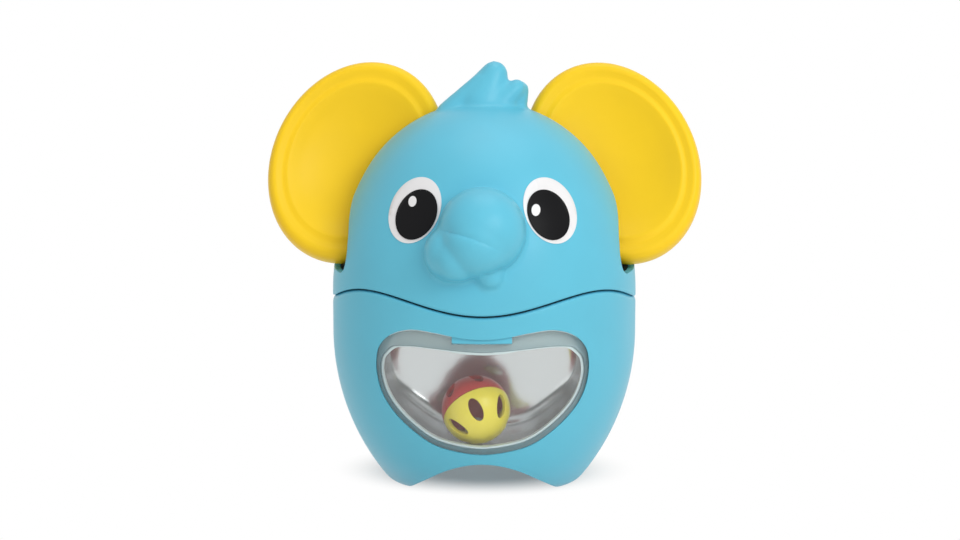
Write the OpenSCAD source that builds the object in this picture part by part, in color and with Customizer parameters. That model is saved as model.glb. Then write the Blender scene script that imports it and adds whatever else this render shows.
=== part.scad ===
// Elephant roly-poly toy: a moulded head with swivelling ears on a body that rocks on two feet,
// with a rattle ball that runs in a mirrored bowl behind a clear window.
// The face looks along -Y. The origin lies on the floor, under the middle of the toy's box.

/* [Shells] */
// Radius of head and body at the seam
shell_r = 57; // [54:0.5:60]
// Wall of the moulded shells
wall = 2.4; // [2:0.1:2.8]
// Radius of the curve of the sides, on body and head
side_arc_r = 88; // [84:1:94]
// Height where the sides of the body start to curve in
body_arc_z = 58; // [56:0.5:61]
// Mean height of the wavy seam between body and head
seam_z = 76.2; // [75.4:0.2:78]
// Rise and fall of the seam
seam_wave = 3.2; // [2:0.2:4]
// Open gap at the seam
seam_gap = 0.6; // [0.4:0.1:1]

/* [Feet] */
// Rounding of the foot tips
foot_tip_r = 5; // [4:0.25:6]
// Width of the flat land under each foot
foot_land = 1.875; // [1:0.125:3]
// Height of the arch between the feet
arch_h = 16.6; // [15:0.2:17.4]
// Radius of the top of the arch, as a share of the feet's distance from the middle
arch_top_share = 0.645; // [0.55:0.005:0.75]
// Radius on which the feet rock forwards and back
rocker_r = 75; // [68:1:90]
// Length of the flat at the middle of each foot
foot_flat = 10; // [7:0.5:12]

/* [Head] */
// Height where the sides of the head start to curve in
head_arc_z = 73; // [72:0.5:75]
// Radius of the top of the head, as a share of the radius at the seam
head_top_share = 0.9035; // [0.86:0.0005:0.93]
// Radius of the main bulb of the trunk
trunk_r = 16; // [14:0.5:17]
// Depth of the bulb's centre behind the front of the head
trunk_set = 4; // [3:0.25:7]
// Height of the bulb's centre
trunk_z = 103.7; // [101:0.5:106]
// Radius at the root of the tall lobe of the hair tuft
tuft_r = 9.5; // [8:0.5:11]

/* [Eyes] */
// Distance of each eye from the middle, as a share of the radius at the seam
eye_place_share = 0.427; // [0.4:0.001:0.46]
// Height of the eyes
eye_z = 109.5; // [107:0.5:112]
// Long half-axis of the white of the eye
eye_long = 12.2; // [11:0.1:13]
// Short half-axis of the white of the eye
eye_short = 8.65; // [7.8:0.05:9.2]
// Lean of the eyes towards the middle, in degrees
eye_lean = 31; // [20:1:38]
// Depth of the recess that the eyes are inlaid in
eye_recess = 0.6; // [0.5:0.1:0.9]

/* [Ears] */
// Long half-axis of the ears
ear_long = 39.7; // [38:0.1:41]
// Short half-axis of the ears
ear_short = 31.9; // [30:0.1:33]
// Thickness of the ears over their rolled rim
ear_t = 12.2; // [11:0.2:13]
// Distance of the ears' centres from the middle
ear_x = 48.1; // [47:0.1:49]
// Height of the ears' centres, before they lean back
ear_z = 120.6; // [120:0.2:121.2]
// Lean of the ears towards the middle, in degrees
ear_lean = 24; // [21:1:27]
// Lean of the ears to the back, about their pivots, in degrees
ear_back = 20; // [16:1:22]
// Distance of the ears' pivots behind the axis
pivot_y = 4; // [3:0.2:5]
// Distance of the ears' pivots from the middle
pivot_x = 28; // [27:0.2:29]
// Height of the ears' pivots
pivot_z = 116; // [115:0.2:117]
// Radius of the pivot pins
pin_r = 2; // [1.6:0.1:2.4]

/* [Window] */
// Width of the window
window_w = 77.2; // [74:0.2:79]
// Height of the window
window_h = 46.9; // [45:0.2:48]
// Height of the window's lowest point
window_z = 20.6; // [20.4:0.2:22]
// Thickness of the clear cover
cover_t = 1.8; // [1.4:0.1:2]
// Width of the thick edge of the clear cover
cover_edge = 3.4; // [2.6:0.1:4]
// Depth of the bowl's deepest point behind the front of the body
bowl_depth = 41; // [39:0.5:43]
// Wall of the mirrored bowl
bowl_t = 1.2; // [1:0.1:1.4]

/* [Rattle ball] */
// Radius of the ball
ball_r = 12.5; // [11.5:0.1:12.6]
// Depth of the ball's centre behind the front of the body, as a share of the bowl's depth
ball_place_share = 0.5488; // [0.54:0.0004:0.56]
// Height of the point that the ball swings about
swing_z = 64; // [62:0.5:66]
// Distance of the ball from the middle, towards the right ear
ball_x = 2.5; // [0:0.1:3]
// Radius of the bead inside the ball
bead_r = 4; // [3.6:0.1:4.4]

/* [Inside] */
// Thickness of the neck frame's deck
deck_t = 2.6; // [2:0.1:3]
// Height of the top of the weights and of their plate's seat
weight_top_z = 22; // [21:0.2:23]
// Thickness of the plate over the weights
plate_t = 2.2; // [1.6:0.1:2.6]
// Radius of the screws
screw_r = 1.5; // [1.2:0.1:1.7]

/* [Hidden] */
$fn = 48;

// Colours as the photo shows them
blue = [0.41, 0.76, 0.85];
yellow = [0.98, 0.80, 0.12];
clear = [0.80, 0.86, 0.86, 0.35];

// Clearances: between fixed pieces, between a pin and its bore, beside a moving piece,
// and the overrun of every cut
fit = 0.2;
run_fit = 0.06;
move_gap = 0.3;
over = 4;

// Steps along arcs and splines
arc_steps = 9;
spline_steps = 2;
wave_step = 7.5;
wave_count = 4;
oval_step = 10;

// Body: centre of the side arc, centre of the outer rounding of the feet, and where the two meet
side_x = shell_r - side_arc_r;
ring_x = side_x + sqrt(pow(side_arc_r - foot_tip_r, 2) - pow(body_arc_z - foot_tip_r, 2));
ring_turn = asin((body_arc_z - foot_tip_r) / (side_arc_r - foot_tip_r));
body_top = seam_z + seam_wave + over;

// Arch: centre of the inner rounding of each foot, and slope of the flank from there to the top arc
foot_x = ring_x - foot_land;
arch_top_r = arch_top_share * foot_x;
arch_dz = foot_tip_r - arch_h + arch_top_r;
arch_slope = asin((arch_top_r + foot_tip_r) / norm([foot_x, arch_dz])) - atan2(arch_dz, foot_x);

// Head: where the side arc runs into the top arc
head_top_r = head_top_share * shell_r;
head_turn = acos((side_arc_r - shell_r) / (side_arc_r - head_top_r));
head_top_z = head_arc_z + (side_arc_r - head_top_r) * sin(head_turn);
head_top = head_top_z + head_top_r;

// Trunk lobes: place and radius as shares of the bulb's radius, with the bulb first
trunk_lobe_shares = [[0, 0, 0, 0.99], [-0.09, -0.25, -0.18, 0.81], [-0.64, 0.06, -0.5, 0.65],
                     [0.18, -0.11, -0.98, 0.33]];
trunk_y = shell_r - trunk_set;
trunk_reach = trunk_y + trunk_r * max([for (s = trunk_lobe_shares) s[3] - s[1]]);

// The toy is deeper in front, by the trunk, so its axis lies behind the origin
axis_y = (trunk_reach - shell_r) / 2;

// Hair tuft: place of each lobe's root, its length and its two radii as shares of the tuft's radius, and its lean
tuft_lobe_shares = [[0.03, -0.15, 1.47, 1.1, 0.32, 14.7], [-1.32, -0.66, 1.83, 0.62, 0.34, 41],
                    [1.14, -0.4, 0.95, 0.48, 0.35, 14], [0.68, -0.43, 0.95, 0.48, 0.35, 20]];
tuft_back_share = 0.32;

// Eyes: pupil and glint as shares of the white, and how far the layers stand proud
eye_x = eye_place_share * shell_r;
pupil_share = 0.78;
pupil_x_share = -0.06;
pupil_z_share = -0.11;
glint_share = 0.165;
glint_places_share = [[-0.4, 0.17], [-0.13, 0.35]];
eye_proud = 0.2;
layer_t = 0.2;
layer_gap = 0.05;

// Ears: front and back height of the section, as shares of half the thickness, over shares of the radius
ear_front_shares = [[0, -0.1], [0.2, -0.06], [0.4, 0.12], [0.58, 0.42], [0.7, 0.72], [0.765, 0.88],
                    [0.8, 0.86], [0.83, 0.85], [0.865, 0.93], [0.9, 1], [0.935, 0.98], [0.97, 0.8],
                    [0.99, 0.52], [1, 0.15]];
ear_back_shares = [[1, -0.2], [0.985, -0.5], [0.95, -0.7], [0.88, -0.8], [0.7, -0.86], [0.4, -0.9],
                   [0, -0.92]];
ear_boss_r = 2.1 * pin_r;
ear_boss_share = 0.97;
ear_drop = ear_z - pivot_z - norm([ear_long * cos(ear_lean), ear_short * sin(ear_lean)]);
ear_low_z = pivot_z + ear_drop * cos(ear_back);
ear_in_x = ear_x - norm([ear_long * sin(ear_lean), ear_short * cos(ear_lean)]);
ear_half_t = ear_t / 2;

// Slots of the head: room beside the ear, below it and past its inner edge, and the flare at the lower front
slot_side = 2;
slot_drop = 1.6;
slot_in = 3.2;
slot_low_z = ear_low_z - slot_drop;
slot_half = (ear_t / 2 + slot_side) / cos(ear_back);
slot_flare = 9;
slot_flare_shares = [[0.45, 0], [0.98, 0.27], [1, 0.37], [0.82, 0.62], [0, 1]];
slot_flare_h = 27;
pocket_t = 2.2;

// Window outline, right half from the lowest point up: shares of half the width and of the height
window_shares = [[0, 0], [0.32, 0.036], [0.51, 0.094], [0.71, 0.213], [0.855, 0.335], [0.945, 0.455],
                 [0.99, 0.58], [1, 0.71], [0.965, 0.84], [0.85, 0.945], [0.655, 1], [0.41, 0.985],
                 [0.2, 0.955], [0, 0.945]];
cover_sink = 0.3;
flange_t = 1.2;
flange_w = 1.4;
cover_in = wall + fit + flange_t;
bowl_back_y = shell_r - bowl_depth;
bowl_off = cover_in + fit;
bowl_in = 0.9;
bowl_round = 3.6;
bowl_steps = 8;
bowl_mid_share = 0.54;

// Ball: the radius of its swing, its place at rest, and the direction of the yellow half's pole
ball_y = shell_r - ball_place_share * bowl_depth;
ball_gap = 0.5;
swing_r = swing_z - window_z - bowl_in - ball_gap - ball_r;
ball_z = swing_z - sqrt(pow(swing_r, 2) - pow(ball_x, 2));
ball_wall = 1.4;
ball_lip = 0.7;
pole_tilt = 130;
pole_turn = -72;
slot_count = 6;
slot_polar = 56;
ball_slot_r = 2.2;
ball_slot_len = 4;

// Neck frame, carrier and bosses
deck_gap = 3.2;
deck_z = window_z + window_h + flange_w + bowl_t + deck_gap;
deck_top = deck_z + deck_t;
ring_top = slot_low_z - fit * 2;
ring_r = head_r(ring_top, wall) - fit;
ring_t = 2.2;
ring_skirt = 1.6;
boss_r = 4;
boss_gap = 2;
boss_ring_share = 0.771;
pocket_front_y = slot_y(slot_low_z + slot_flare_shares[1][1] * slot_flare_h) - slot_half - slot_flare - pocket_t;
boss_y = boss_r + boss_gap - pocket_front_y;
boss_x = sqrt(pow(boss_ring_share * shell_r, 2) - pow(boss_y, 2));
leg_places_share = [0.14, 0.6];
leg_boss_h = 7;
leg_seat_z = arch_h + wall + leg_boss_h;
leg_r = 4;
counterbore_h = 5;
washer_t = slot_side + ear_half_t * (1 - ear_boss_share) - move_gap;
washer_r = 2.3 * pin_r;
carrier_screw_x = 5.4;
carrier_t = slot_low_z - pocket_t / 2 - deck_top;
wall_y = ear_half_t + slot_side;
base_front_y = slot_y(slot_low_z) - slot_half - slot_flare_shares[0][0] * slot_flare;
base_back_y = slot_y(slot_low_z) + slot_half;
base_mid_y = (base_front_y + base_back_y) / 2;

// Screws
screw_head_r = 2 * screw_r;
screw_head_h = 2;
screw_grip = 9;
thread_fit = 0.05;

// Weights
weight_half_y = 15;
weight_in_x = 17;
plate_half_x = 37;
plate_gap = 1.8;
plate_front_y = bowl_back_y - bowl_t - plate_gap;
plate_back_y = 24;
plate_boss_x = 13;
plate_boss_y = 19;
plate_boss_r = 3.4;
plate_grip = 4;

// Middle of an ear's slot at a height: the slot leans back with the ear
function slot_y(z) = pivot_y + (z - pivot_z) * tan(ear_back);

// Side view of an ear's slot, grown by off
function slot_side_view(off) = concat(
    [[slot_y(slot_low_z - off) + slot_half + off, slot_low_z - off], [slot_y(head_top) + slot_half + off, head_top],
     [slot_y(head_top) - slot_half - off, head_top]],
    [for (i = [len(slot_flare_shares) - 1:-1:0]) let (s = slot_flare_shares[i],
        z = slot_low_z + s[1] * slot_flare_h)
        [slot_y(z) - slot_half - s[0] * slot_flare - off, s[1] == 0 ? z - off : z]]);

function arc(cx, cz, r, from, to, steps) =
    [for (i = [0:steps]) let (a = from + (to - from) * i / steps) [cx + r * cos(a), cz + r * sin(a)]];

// Section of the body, moved inwards by off
function body_section(off) = concat(
    [[0, off]],
    arc(ring_x, foot_tip_r, foot_tip_r - off, -90, -ring_turn, arc_steps),
    arc(side_x, body_arc_z, side_arc_r - off, -ring_turn, 0, arc_steps),
    [[shell_r - off, body_top], [0, body_top]]);

// Section of the head, moved inwards by off
function head_section(off) = concat(
    [[0, seam_z - seam_wave - over], [shell_r - off, seam_z - seam_wave - over]],
    arc(side_x, head_arc_z, side_arc_r - off, 0, head_turn, arc_steps),
    arc(0, head_top_z, head_top_r - off, head_turn, 90, 2 * arc_steps));

// Radius of the body's side and of the head's side at a height, moved inwards by off
function body_r(z, off) =
    z > body_arc_z ? shell_r - off : side_x + sqrt(pow(side_arc_r - off, 2) - pow(body_arc_z - z, 2));
function head_r(z, off) =
    z < head_arc_z ? shell_r - off : side_x + sqrt(pow(side_arc_r - off, 2) - pow(z - head_arc_z, 2));

// Half of the arch from the middle of its top to the floor, grown by off
function arch_half(off) = concat(
    arc(0, arch_h - arch_top_r, arch_top_r + off, 90, 90 - arch_slope, arc_steps),
    arc(foot_x, foot_tip_r, foot_tip_r - off, 270 - arch_slope, 270, arc_steps));

function mirrored(points) = [for (i = [len(points) - 1:-1:0]) [-points[i][0], points[i][1]]];

// Height of the seam over the width of the toy
function seam_line(lift) = [for (a = [-90:wave_step:90])
    [shell_r * sin(a), seam_z - seam_wave * cos(wave_count * a) + lift]];

// Smooth closed curve through points
function spline_point(p, q, r, s, t) =
    0.5 * (2 * q + (r - p) * t + (2 * p - 5 * q + 4 * r - s) * t * t
           + (3 * q - p - 3 * r + s) * t * t * t);
function closed_spline(p) = let (n = len(p))
    [for (i = [0:n - 1]) for (k = [0:spline_steps - 1])
        spline_point(p[(i + n - 1) % n], p[i], p[(i + 1) % n], p[(i + 2) % n], k / spline_steps)];

// Outline moved outwards by d, for points that run anticlockwise
function grown(p, d) = let (n = len(p))
    [for (i = [0:n - 1]) let (t = p[(i + 1) % n] - p[(i + n - 1) % n])
        p[i] + d * [t[1], -t[0]] / norm(t)];

window_half = [for (s = window_shares) [s[0] * window_w / 2, window_z + s[1] * window_h]];
window_left = mirrored(window_half);
window_curve = closed_spline(concat(window_half,
    [for (i = [1:len(window_left) - 2]) window_left[i]]));

// The bowl's rim follows the body's wall, and its rings shrink towards the bowl's middle at the back
bowl_mid = [0, window_z + bowl_mid_share * window_h];
function rim_y(p) = -sqrt(pow(body_r(p[1], bowl_off), 2) - pow(p[0], 2));
function bowl_ring(points, back, front, a) =
    let (s = pow(cos(a), 2 / bowl_round), d = pow(sin(a), 2 / bowl_round))
    [for (p = points) let (q = bowl_mid + s * (p - bowl_mid), y = rim_y(p) + front)
        [q[0], y + d * (-back - y), q[1]]];

function oval(long, short, lean, x, z) = [for (a = [0:oval_step:360 - oval_step])
    [x + short * cos(a) * cos(lean) - long * sin(a) * sin(lean),
     z + short * cos(a) * sin(lean) + long * sin(a) * cos(lean)]];

// Section of a lobe with a round root and a round tip
function lobe_section(length, r1, r2) = let (turn = asin((r1 - r2) / length)) concat(
    arc(0, 0, r1, -90, turn, arc_steps), arc(0, length, r2, turn, 90, arc_steps));

module seated() translate([0, axis_y, 0]) children();

module on_both_sides() {
    children();
    mirror([1, 0, 0]) children();
}

// A front-view outline as a bar along Y, between two places on Y
module front_bar(points, from, to)
    translate([0, to, 0]) rotate([90, 0, 0]) linear_extrude(to - from) polygon(points);

module body_form(off) rotate_extrude() polygon(body_section(off));

module head_form(off) rotate_extrude() polygon(head_section(off));

module lobe(root, lean, length, r1, r2)
    translate(root) rotate([0, lean, 0]) rotate_extrude() polygon(lobe_section(length, r1, r2));

module arch_bar(off) front_bar(
    concat([[-foot_x, -over]], mirrored(arch_half(off)), arch_half(off), [[foot_x, -over]]),
    -shell_r - over, shell_r + over);

// Everything between the seam, moved up by lift, and a far height
module seam_bar(lift, far_z) front_bar(
    concat([[-shell_r - over, far_z], [-shell_r - over, seam_z - seam_wave + lift]], seam_line(lift),
           [[shell_r + over, seam_z - seam_wave + lift], [shell_r + over, far_z]]),
    -shell_r - over, shell_r + over);

module window_bar(d) front_bar(grown(window_curve, d), -shell_r - over, -bowl_back_y);

// Round bar that rocks: the space above the rocker
module rocker() translate([-shell_r - over, 0, sqrt(pow(rocker_r, 2) - pow(foot_flat / 2, 2))])
    rotate([0, 90, 0]) cylinder(r = rocker_r, h = 2 * (shell_r + over));

module screw(length) {
    translate([0, 0, -screw_head_h]) cylinder(r = screw_head_r, h = screw_head_h);
    cylinder(r = screw_r, h = length);
}

module at_bosses() for (sx = [-1, 1]) for (sy = [-1, 1])
    translate([sx * boss_x, sy * boss_y, 0]) children();

module at_legs() for (s = leg_places_share) translate([0, s * shell_r, 0]) children();

module at_plate_bosses() on_both_sides() translate([plate_boss_x, plate_boss_y, 0]) children();

// The hollow of the body, moved inwards by off from the outside
module body_hollow(off) difference() {
    body_form(off);
    arch_bar(off);
}

module body_shell() color(blue) seated() difference() {
    union() {
        difference() {
            intersection() {
                difference() {
                    body_form(0);
                    arch_bar(0);
                }
                union() {
                    rocker();
                    translate([0, 0, foot_tip_r * 2]) cylinder(r = shell_r + over, h = body_top);
                }
            }
            body_hollow(wall);
            window_bar(0);
            seam_bar(-seam_gap / 2, head_top_z);
        }
        intersection() {
            body_hollow(wall / 2);
            union() {
                at_legs() cylinder(r = leg_r + wall / 2, h = leg_seat_z);
                at_plate_bosses() cylinder(r = plate_boss_r, h = weight_top_z);
            }
        }
    }
    at_legs() {
        cylinder(r = screw_head_r + fit, h = leg_seat_z - counterbore_h + screw_head_h);
        cylinder(r = screw_r + fit, h = leg_seat_z + over);
    }
    at_plate_bosses() translate([0, 0, weight_top_z - plate_grip])
        cylinder(r = screw_r + thread_fit, h = plate_grip + over);
}

module trunk(off) for (s = trunk_lobe_shares)
    translate([s[0] * trunk_r, s[1] * trunk_r - trunk_y, s[2] * trunk_r + trunk_z])
        sphere(r = s[3] * trunk_r - off);

module tuft() for (s = tuft_lobe_shares)
    lobe([s[0] * tuft_r, tuft_back_share * tuft_r, head_top + s[1] * tuft_r], s[5], s[2] * tuft_r,
         s[3] * tuft_r, s[4] * tuft_r);

// An ear's slot as a bar from its inner end to past the side of the head
module ear_slot(off) translate([ear_in_x - slot_in - off, 0, 0]) rotate([90, 0, 90])
    linear_extrude(shell_r) polygon(slot_side_view(off));

// What is drawn upright about an ear's pivot leans back with the ear
module leaned() translate([0, pivot_y, pivot_z]) rotate([-ear_back, 0, 0]) translate([0, 0, -pivot_z])
    children();

module eye_bar(long, short, x, z) front_bar(oval(long, short, eye_lean, x, z), -shell_r, -over);

module head_shell() color(blue) seated() difference() {
    union() {
        difference() {
            union() {
                head_form(0);
                trunk(0);
                tuft();
            }
            head_form(wall);
            intersection() {
                trunk(wall);
                translate([0, -shell_r, trunk_z]) sphere(r = 2 * trunk_r);
            }
            seam_bar(seam_gap / 2, 0);
        }
        intersection() {
            head_form(wall / 2);
            at_bosses() translate([0, 0, deck_top]) cylinder(r = boss_r, h = head_top - deck_top);
        }
    }
    on_both_sides() {
        ear_slot(0);
        difference() {
            eye_bar(eye_long, eye_short, eye_x, eye_z);
            head_form(eye_recess);
        }
    }
    at_bosses() translate([0, 0, deck_z]) cylinder(r = screw_r + thread_fit, h = screw_grip + deck_t);
}

module eye_layer(points, inner, outer) intersection() {
    difference() {
        head_form(-outer);
        head_form(-inner);
    }
    front_bar(points, -shell_r, -over);
}

module eye_white(side) color("white") seated()
    eye_layer(oval(eye_long - fit, eye_short - fit, side * eye_lean, side * eye_x, eye_z),
              layer_gap - eye_recess, eye_proud);

module pupil(side) color([0.06, 0.06, 0.06]) seated()
    eye_layer(oval(eye_long * pupil_share, eye_short * pupil_share, side * eye_lean,
                   side * (eye_x + pupil_x_share * eye_short), eye_z + pupil_z_share * eye_long),
              eye_proud + layer_gap, eye_proud + layer_gap + layer_t);

module eye_glints() color("white") seated() for (k = [0, 1])
    eye_layer(oval(eye_long * glint_share, eye_short * glint_share, (2 * k - 1) * eye_lean,
                   (2 * k - 1) * eye_x + glint_places_share[1 - k][0] * eye_long,
                   eye_z + glint_places_share[1 - k][1] * eye_long * (1 - pupil_share / 2)),
              eye_proud + 2 * layer_gap + layer_t, eye_proud + 2 * (layer_gap + layer_t));

module left_eye_white() eye_white(1);
module right_eye_white() eye_white(-1);
module left_pupil() pupil(1);
module right_pupil() pupil(-1);

// An ear as it lies at the toy's left, with its rolled rim, dish and pivot boss
module ear() leaned() difference() {
    union() {
        translate([ear_x, 0, ear_z]) rotate([90, 0, 0]) rotate([0, 0, ear_lean])
            scale([1, ear_long / ear_short, 1]) rotate_extrude()
                polygon([for (s = concat(ear_front_shares, ear_back_shares))
                    [s[0] * ear_short, s[1] * ear_half_t]]);
        along_pivot(-ear_half_t * ear_boss_share, ear_half_t * ear_boss_share) circle(r = ear_boss_r);
    }
    along_pivot(-ear_t, ear_t) circle(r = pin_r + run_fit);
}

module left_ear() color(yellow) seated() ear();
module right_ear() color(yellow) seated() mirror([1, 0, 0]) ear();

module along_pivot(y0, y1) translate([pivot_x, y1, pivot_z]) rotate([90, 0, 0])
    linear_extrude(y1 - y0) children();

// Two pockets that line the slots and carry the pins, on one base
module ear_carrier() color([0.85, 0.86, 0.87]) seated() difference() {
    union() {
        translate([slot_in - ear_in_x, base_front_y, deck_top])
            cube([2 * (ear_in_x - slot_in), base_back_y - base_front_y, carrier_t]);
        intersection() {
            head_form(wall + fit);
            on_both_sides() ear_slot(pocket_t);
        }
    }
    on_both_sides() {
        ear_slot(0);
        leaned() along_pivot(-shell_r, shell_r) circle(r = pin_r + run_fit);
        translate([carrier_screw_x, base_mid_y, deck_z])
            cylinder(r = screw_r + fit, h = deck_t + carrier_t + over);
    }
}

module ear_pins() color("silver") seated() on_both_sides() leaned() {
    along_pivot(-wall_y - pocket_t, wall_y + pocket_t + pin_r / 2) circle(r = pin_r);
    along_pivot(wall_y + pocket_t, wall_y + pocket_t + pin_r / 2) circle(r = 2 * pin_r);
}

module ear_washers() color("gray") seated() on_both_sides() leaned() {
    along_pivot(-wall_y, washer_t - wall_y) washer();
    along_pivot(wall_y - washer_t, wall_y) washer();
}

module washer() difference() {
    circle(r = washer_r);
    circle(r = pin_r + run_fit);
}

module carrier_screws() color("silver") seated() on_both_sides()
    translate([carrier_screw_x, base_mid_y, deck_top + carrier_t]) rotate([180, 0, 0])
        screw(carrier_t + deck_t + screw_grip / 2);

module neck_frame() color([0.78, 0.76, 0.72]) seated() difference() {
    union() {
        difference() {
            translate([0, 0, deck_z - ring_skirt]) cylinder(r = ring_r, h = ring_top - deck_z + ring_skirt);
            translate([0, 0, deck_z - ring_skirt - over])
                cylinder(r = ring_r - ring_t, h = ring_top - deck_z + ring_skirt + 2 * over);
        }
        translate([0, 0, deck_z]) cylinder(r = ring_r - ring_t / 2, h = deck_t);
        at_legs() translate([0, 0, leg_seat_z]) cylinder(r = leg_r, h = deck_top - leg_seat_z);
        on_both_sides() translate([carrier_screw_x, base_mid_y, deck_z - screw_grip])
            cylinder(r = leg_r, h = screw_grip);
    }
    on_both_sides() ear_slot(pocket_t + fit);
    at_legs() translate([0, 0, leg_seat_z - over]) cylinder(r = screw_r + thread_fit, h = screw_grip + over);
    at_bosses() translate([0, 0, deck_z - over]) cylinder(r = screw_r + fit, h = deck_t + 2 * over);
    on_both_sides() translate([carrier_screw_x, base_mid_y, deck_z - screw_grip / 2])
        cylinder(r = screw_r + thread_fit, h = screw_grip + deck_t);
}

module head_screws() color("silver") seated() at_bosses() translate([0, 0, deck_z])
    screw(deck_t + screw_grip - fit);

module base_screws() color("silver") seated() at_legs()
    translate([0, 0, leg_seat_z - counterbore_h + screw_head_h]) screw(counterbore_h + screw_grip / 2);

// Clear cover: a plate that follows the body, with a thick edge and a flange behind the wall
module window_cover() color(clear) seated() difference() {
    intersection() {
        difference() {
            body_form(cover_sink);
            body_form(cover_in);
        }
        union() {
            window_bar(-fit);
            intersection() {
                body_form(wall + fit);
                window_bar(flange_w);
            }
        }
    }
    intersection() {
        body_form(cover_sink + cover_t);
        window_bar(-cover_edge);
    }
}

// Mirrored bowl: rings of the window's outline that shrink towards the back, with a flange in front
module mirror_bowl() color([0.75, 0.76, 0.78]) seated() {
    inner = grown(window_curve, -bowl_in);
    outer = grown(window_curve, bowl_t - bowl_in);
    edge = grown(window_curve, flange_w);
    n = len(inner);
    turns = [for (i = [0:bowl_steps - 1]) 90 * i / bowl_steps];
    inside = [for (i = [bowl_steps - 1:-1:0]) bowl_ring(inner, bowl_back_y, 0, turns[i])];
    outside = [for (a = turns) bowl_ring(outer, bowl_back_y - bowl_t, bowl_t, a)];
    rings = concat(inside, [bowl_ring(edge, 0, 0, 0)], [bowl_ring(edge, 0, bowl_t, 0)], outside);
    count = len(rings);
    points = concat([for (r = rings) for (p = r) p],
                    [[bowl_mid[0], -bowl_back_y, bowl_mid[1]],
                     [bowl_mid[0], bowl_t - bowl_back_y, bowl_mid[1]]]);
    walls = [for (j = [0:count - 2]) for (i = [0:n - 1]) let (k = (i + 1) % n)
        each [[j * n + i, j * n + k, (j + 1) * n + k], [j * n + i, (j + 1) * n + k, (j + 1) * n + i]]];
    caps = [for (i = [0:n - 1]) let (k = (i + 1) % n)
        each [[count * n, k, i], [count * n + 1, (count - 1) * n + i, (count - 1) * n + k]]];
    polyhedron(points, concat(walls, caps));
}

// Radial slots round the pole of a ball half, and one of the two shells
module ball_slots() for (i = [0:slot_count - 1]) rotate([0, 0, 360 * i / slot_count])
    rotate([0, slot_polar, 0]) translate([0, 0, ball_r / 2]) {
        for (s = [-1, 1]) translate([s * ball_slot_len / 2, 0, 0]) cylinder(r = ball_slot_r, h = ball_r);
        translate([-ball_slot_len / 2, -ball_slot_r, 0]) cube([ball_slot_len, 2 * ball_slot_r, ball_r]);
    }

module ball_half(lip) difference() {
    union() {
        intersection() {
            sphere(r = ball_r);
            translate([-ball_r - over, -ball_r - over, fit / 4]) cube(2 * (ball_r + over));
        }
        if (lip) translate([0, 0, -ball_wall])
            cylinder(r = ball_r - ball_lip - fit, h = 2 * ball_wall);
    }
    sphere(r = ball_r - ball_wall);
    if (!lip) translate([0, 0, -over]) cylinder(r = ball_r - ball_lip, h = over + ball_wall + fit);
    ball_slots();
}

module at_ball() translate([-ball_x, -ball_y, ball_z]) rotate([0, 0, pole_turn]) rotate([0, pole_tilt, 0])
    children();

module ball_yellow_half() color([0.86, 0.83, 0.30]) seated() at_ball() ball_half(true);

module ball_red_half() color([0.72, 0.16, 0.14]) seated() at_ball() rotate([180, 0, 0]) ball_half(false);

module rattle_bead() color([0.3, 0.25, 0.25]) seated() translate([-ball_x, -ball_y,
    ball_z - ball_r + ball_wall + bead_r + fit]) sphere(r = bead_r);

module foot_weights() color("dimgray") seated() on_both_sides() intersection() {
    body_hollow(wall + fit);
    translate([weight_in_x, -weight_half_y, 0]) cube([shell_r, 2 * weight_half_y, weight_top_z]);
}

module weight_plate() color([0.85, 0.86, 0.87]) seated() difference() {
    intersection() {
        body_form(wall + fit);
        translate([-plate_half_x, -plate_front_y, weight_top_z])
            cube([2 * plate_half_x, plate_front_y + plate_back_y, plate_t]);
    }
    at_legs() cylinder(r = leg_r + wall / 2 + fit, h = body_top);
    at_plate_bosses() cylinder(r = screw_r + fit, h = body_top);
}

module plate_screws() color("silver") seated() at_plate_bosses()
    translate([0, 0, weight_top_z + plate_t]) rotate([180, 0, 0]) screw(plate_t + plate_grip - fit);

head_shell();
body_shell();
neck_frame();
ear_carrier();
left_ear();
right_ear();
ear_pins();
ear_washers();
carrier_screws();
head_screws();
base_screws();
left_eye_white();
right_eye_white();
left_pupil();
right_pupil();
eye_glints();
window_cover();
mirror_bowl();
ball_yellow_half();
ball_red_half();
rattle_bead();
foot_weights();
weight_plate();
plate_screws();
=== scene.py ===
"""Looks of the elephant roly-poly toy: shells, ears, eyes, window, bowl and ball over the CAD frame."""
from math import acos, asin, atan2, cos, exp, hypot, pi, radians, sin, sqrt, tan

import bmesh
import bpy
from mathutils import Matrix, Vector


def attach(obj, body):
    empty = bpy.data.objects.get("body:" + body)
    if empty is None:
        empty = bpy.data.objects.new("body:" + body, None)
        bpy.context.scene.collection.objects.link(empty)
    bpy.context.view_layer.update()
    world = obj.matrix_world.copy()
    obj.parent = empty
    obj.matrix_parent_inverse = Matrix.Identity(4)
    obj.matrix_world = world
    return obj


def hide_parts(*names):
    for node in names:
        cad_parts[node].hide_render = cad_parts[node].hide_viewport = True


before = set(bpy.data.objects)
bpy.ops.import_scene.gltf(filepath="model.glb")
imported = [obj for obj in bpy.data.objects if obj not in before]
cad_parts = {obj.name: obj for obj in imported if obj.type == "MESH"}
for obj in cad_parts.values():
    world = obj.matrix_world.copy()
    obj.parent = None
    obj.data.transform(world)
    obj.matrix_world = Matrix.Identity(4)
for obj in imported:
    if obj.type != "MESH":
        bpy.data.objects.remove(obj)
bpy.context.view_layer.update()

# Sizes in millimetres, about the toy's own axis; place() puts a finished piece into the frame
AXIS_Y = 6.48
SHELL_R = 57.0
WALL = 2.4
SIDE_ARC_R = 88.0
BODY_ARC_Z = 58.0
SEAM_Z = 76.2
SEAM_WAVE = 3.2
SEAM_WAVES = 4
SEAM_DIP = 2.6
SEAM_DIP_POWER = 10
SEAM_GAP = 0.7
SEAM_ROUND = 1.1
FOOT_TIP_R = 9.0
FOOT_IN_R = 7.0
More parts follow.
